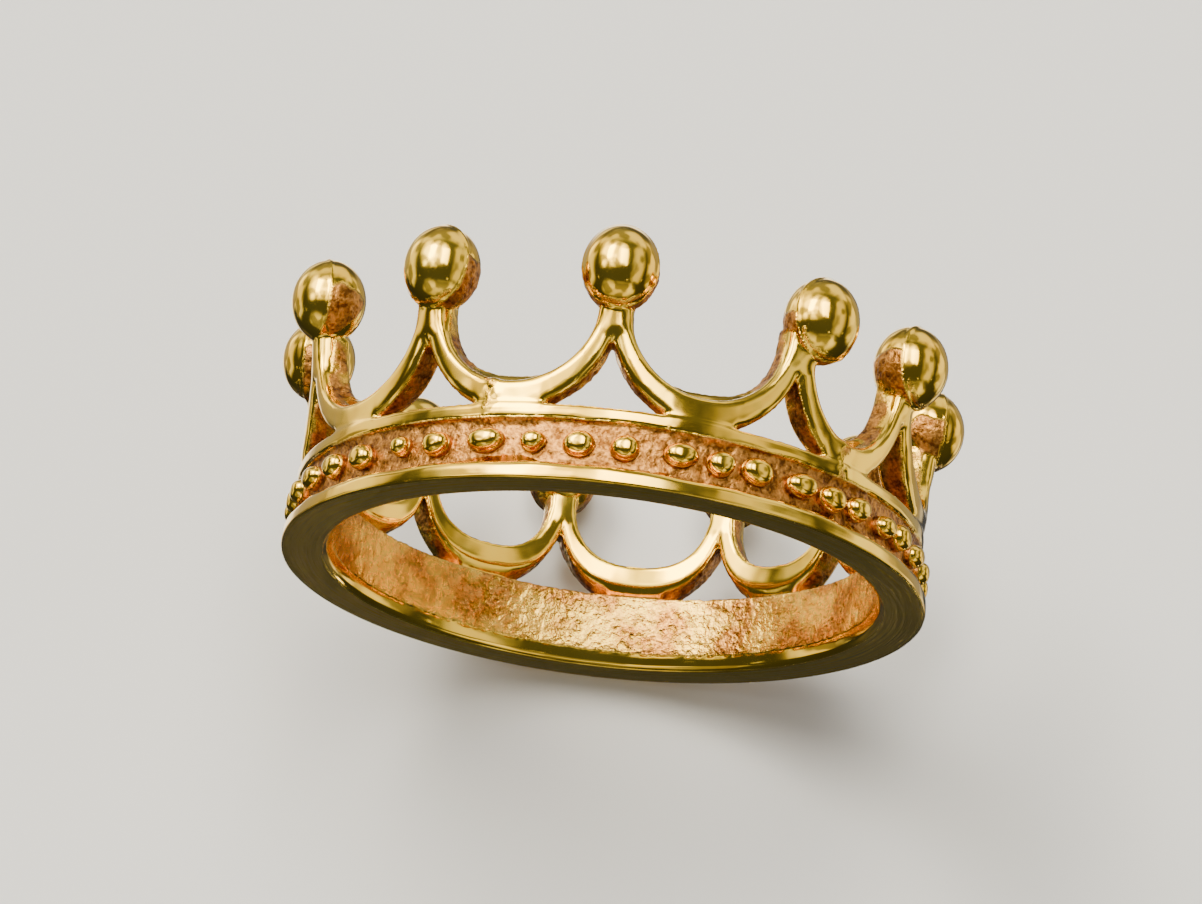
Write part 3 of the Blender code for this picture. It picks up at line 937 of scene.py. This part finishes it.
def make_floor():
    """A plain pale floor under the ring, and the pale board that the ring lies back against.

    Both are clear from behind, because the camera looks up at the ring from under the floor.
    """
    material = bpy.data.materials.new("pale_floor")
    material.use_nodes = True
    nodes = Nodes(material.node_tree)
    shader = material.node_tree.nodes["Principled BSDF"]
    shader.inputs["Base Color"].default_value = STAGE_COLOUR
    shader.inputs["Roughness"].default_value = 0.9
    clear = nodes.add("ShaderNodeBsdfTransparent")
    facing = nodes.add("ShaderNodeNewGeometry")
    blend = nodes.add("ShaderNodeMixShader")
    nodes.feed(blend.inputs, (facing.outputs["Backfacing"], shader.outputs[0], clear.outputs[0]))
    nodes.link(blend.outputs[0], material.node_tree.nodes["Material Output"].inputs["Surface"])

    low, high = Vector(cad_box[0]), Vector(cad_box[1])
    size = STAGE_SPREAD * (high - low).length
    floor = plane_object("floor", size, material)
    floor.location = (0.0, 0.0, low.z - FLOOR_GAP)
    board = plane_object("board", size, material)
    lean = math.atan2(BALLS_REACH - OUTER_RADIUS, BALLS[:, 2].mean())
    board.rotation_euler = (0.5 * math.pi - lean, 0.0, 0.0)
    board.location = (0.0, OUTER_RADIUS * MM + BOARD_GAP, 0.0)
    for piece in (floor, board):
        piece.visible_glossy = False
        piece.visible_diffuse = False


# Soft boxes of the studio: the direction to each, the tangents of its half width and half height,
# how softly its edge fades (also a tangent), and its brightness.
SOFT_BOXES = (
    ((-0.46, -0.80, 0.42), 0.42, 0.26, 0.45, 5.4),
    ((-0.46, -0.80, 0.40), 0.20, 0.30, 0.08, 10.0),
    ((0.10, -0.92, 0.30), 0.12, 0.28, 0.10, 6.5),
    ((0.00, 0.95, -0.30), 0.50, 0.02, 0.30, 0.10),
    ((0.80, -0.60, 0.12), 0.10, 0.55, 0.35, 1.0),
    ((0.00, -0.38, -0.92), 0.75, 0.08, 0.50, 1.5),
    ((0.00, -0.10, 1.00), 0.70, 0.12, 0.45, 1.2),
    ((-0.95, 0.25, 0.30), 0.12, 0.50, 0.35, 1.4),
    ((0.95, 0.25, 0.35), 0.12, 0.50, 0.35, 1.4),
    ((-0.40, 0.80, 0.55), 0.45, 0.20, 0.40, 2.2),
    ((0.65, 0.72, 0.30), 0.12, 0.40, 0.25, 1.6),
)


BOX_LIGHT = (1.0, 0.95, 0.82, 1.0)
WALL_LIGHT = (0.82, 0.95, 1.25, 1.0)
BACKDROP = (0.80, 0.79, 0.77, 1.0)
NEARLY_SIDEWAYS = 0.05           # a box is not drawn further round than this cosine


def soft_box(nodes, direction, toward, half_width, half_height, fade):
    """How much of a rectangular soft box lies in a direction, 0 to 1."""
    ahead = Vector(toward).normalized()
    right = ahead.cross(Vector((0.0, 0.0, 1.0))).normalized()
    seen = []
    for axis in (ahead, right, right.cross(ahead)):
        dot = nodes.add("ShaderNodeVectorMath", operation="DOT_PRODUCT")
        nodes.feed(dot.inputs, (direction, tuple(axis)))
        seen.append(dot.outputs["Value"])
    depth = nodes.math("MAXIMUM", seen[0], NEARLY_SIDEWAYS)
    across = nodes.math("ABSOLUTE", nodes.math("DIVIDE", seen[1], depth))
    along = nodes.math("ABSOLUTE", nodes.math("DIVIDE", seen[2], depth))
    width_share = nodes.ramp(across, half_width + fade, half_width, "SMOOTHSTEP")
    height_share = nodes.ramp(along, half_height + fade, half_height, "SMOOTHSTEP")
    return nodes.times(width_share, height_share)


def background(nodes, colour, strength=1.0):
    shader = nodes.add("ShaderNodeBackground")
    nodes.feed(shader.inputs, (colour, strength))
    return shader.outputs[0]


def make_world():
    """Warm soft boxes over a dim cool room for reflections, and a pale backdrop for the eye."""
    world = bpy.data.worlds.new("studio")
    world.use_nodes = True
    bpy.context.scene.world = world
    nodes = Nodes(world.node_tree)
    world.node_tree.nodes.clear()
    direction = nodes.add("ShaderNodeTexCoord").outputs["Generated"]
    split = nodes.add("ShaderNodeSeparateXYZ")
    nodes.link(direction, split.inputs[0])

    from_front = nodes.ramp(nodes.times(split.outputs["Y"], -1.0), -0.75, 0.85)
    from_above = nodes.ramp(split.outputs["Z"], 0.0, 0.8)
    dim = nodes.plus(0.045, nodes.times(from_front, 0.06))
    dim = nodes.plus(dim, nodes.times(from_above, 0.08))

    # Uneven cloth in front of the lamps, so that the polished metal reflects a lively light.
    cloth = nodes.ramp(nodes.noise(direction, 2.7, 0.0), 0.40, 0.56)
    cloth = nodes.plus(0.22, nodes.times(cloth, 0.95))
    light = 0.0
    for toward, half_width, half_height, fade, strength in SOFT_BOXES:
        share = soft_box(nodes, direction, toward, half_width, half_height, fade)
        light = nodes.plus(light, nodes.times(nodes.times(share, strength), cloth))

    room = nodes.add("ShaderNodeAddShader")
    nodes.feed(room.inputs, (background(nodes, BOX_LIGHT, light), background(nodes, WALL_LIGHT, dim)))
    is_seen = nodes.add("ShaderNodeLightPath").outputs["Is Camera Ray"]
    choose = nodes.add("ShaderNodeMixShader")
    nodes.feed(choose.inputs, (is_seen, room.outputs[0], background(nodes, BACKDROP)))
    output = nodes.add("ShaderNodeOutputWorld")
    nodes.link(choose.outputs[0], output.inputs["Surface"])


KEY_PLACE = (-0.09, -0.16, 0.16)
KEY_SIZE = 0.10
KEY_WATTS = 0.12


def make_key_light():
    """A soft key from the upper left front, for the ring's shadow on the floor and board."""
    light = bpy.data.lights.new("key", "AREA")
    light.shape = "DISK"
    light.size = KEY_SIZE
    light.energy = KEY_WATTS
    key = bpy.data.objects.new("key", light)
    key.location = KEY_PLACE
    key.rotation_euler = (-Vector(key.location)).to_track_quat("-Z", "Y").to_euler()
    key.visible_glossy = False
    bpy.context.scene.collection.objects.link(key)


# The camera, in outer radii of the ring where it is a length.
CAMERA_DISTANCE = 14.0
CAMERA_PITCH = math.radians(-17.42)
CAMERA_ROLL = math.radians(6.73)
CAMERA_AIM = (-0.052, 0.0, 0.437)
FOCAL_SHARE = 4530.0 / 1202.0                # focal length over the frame's width
SENSOR_WIDTH = 36.0


def make_camera():
    """A long lens in front of the ring, a little below its base and rolled, as it lay."""
    aim = Vector(CAMERA_AIM) * OUTER_RADIUS * MM
    toward_camera = Vector((0.0, -math.cos(CAMERA_PITCH), math.sin(CAMERA_PITCH)))
    place = toward_camera * CAMERA_DISTANCE * OUTER_RADIUS * MM
    camera_data = bpy.data.cameras.new("camera")
    camera_data.sensor_width = SENSOR_WIDTH
    camera_data.lens = SENSOR_WIDTH * FOCAL_SHARE
    camera_data.clip_start = 0.001
    camera = bpy.data.objects.new("camera", camera_data)
    forward = (aim - place).normalized()
    right = forward.cross(Vector((0.0, 0.0, 1.0))).normalized()
    up = right.cross(forward)
    rolled_right = right * math.cos(CAMERA_ROLL) + up * math.sin(CAMERA_ROLL)
    rolled_up = up * math.cos(CAMERA_ROLL) - right * math.sin(CAMERA_ROLL)
    turn = Matrix((rolled_right, rolled_up, -forward)).transposed().to_4x4()
    camera.matrix_world = Matrix.Translation(place) @ turn
    bpy.context.scene.collection.objects.link(camera)
    bpy.context.scene.camera = camera


make_camera()
make_ring()
make_floor()
make_world()
make_key_light()
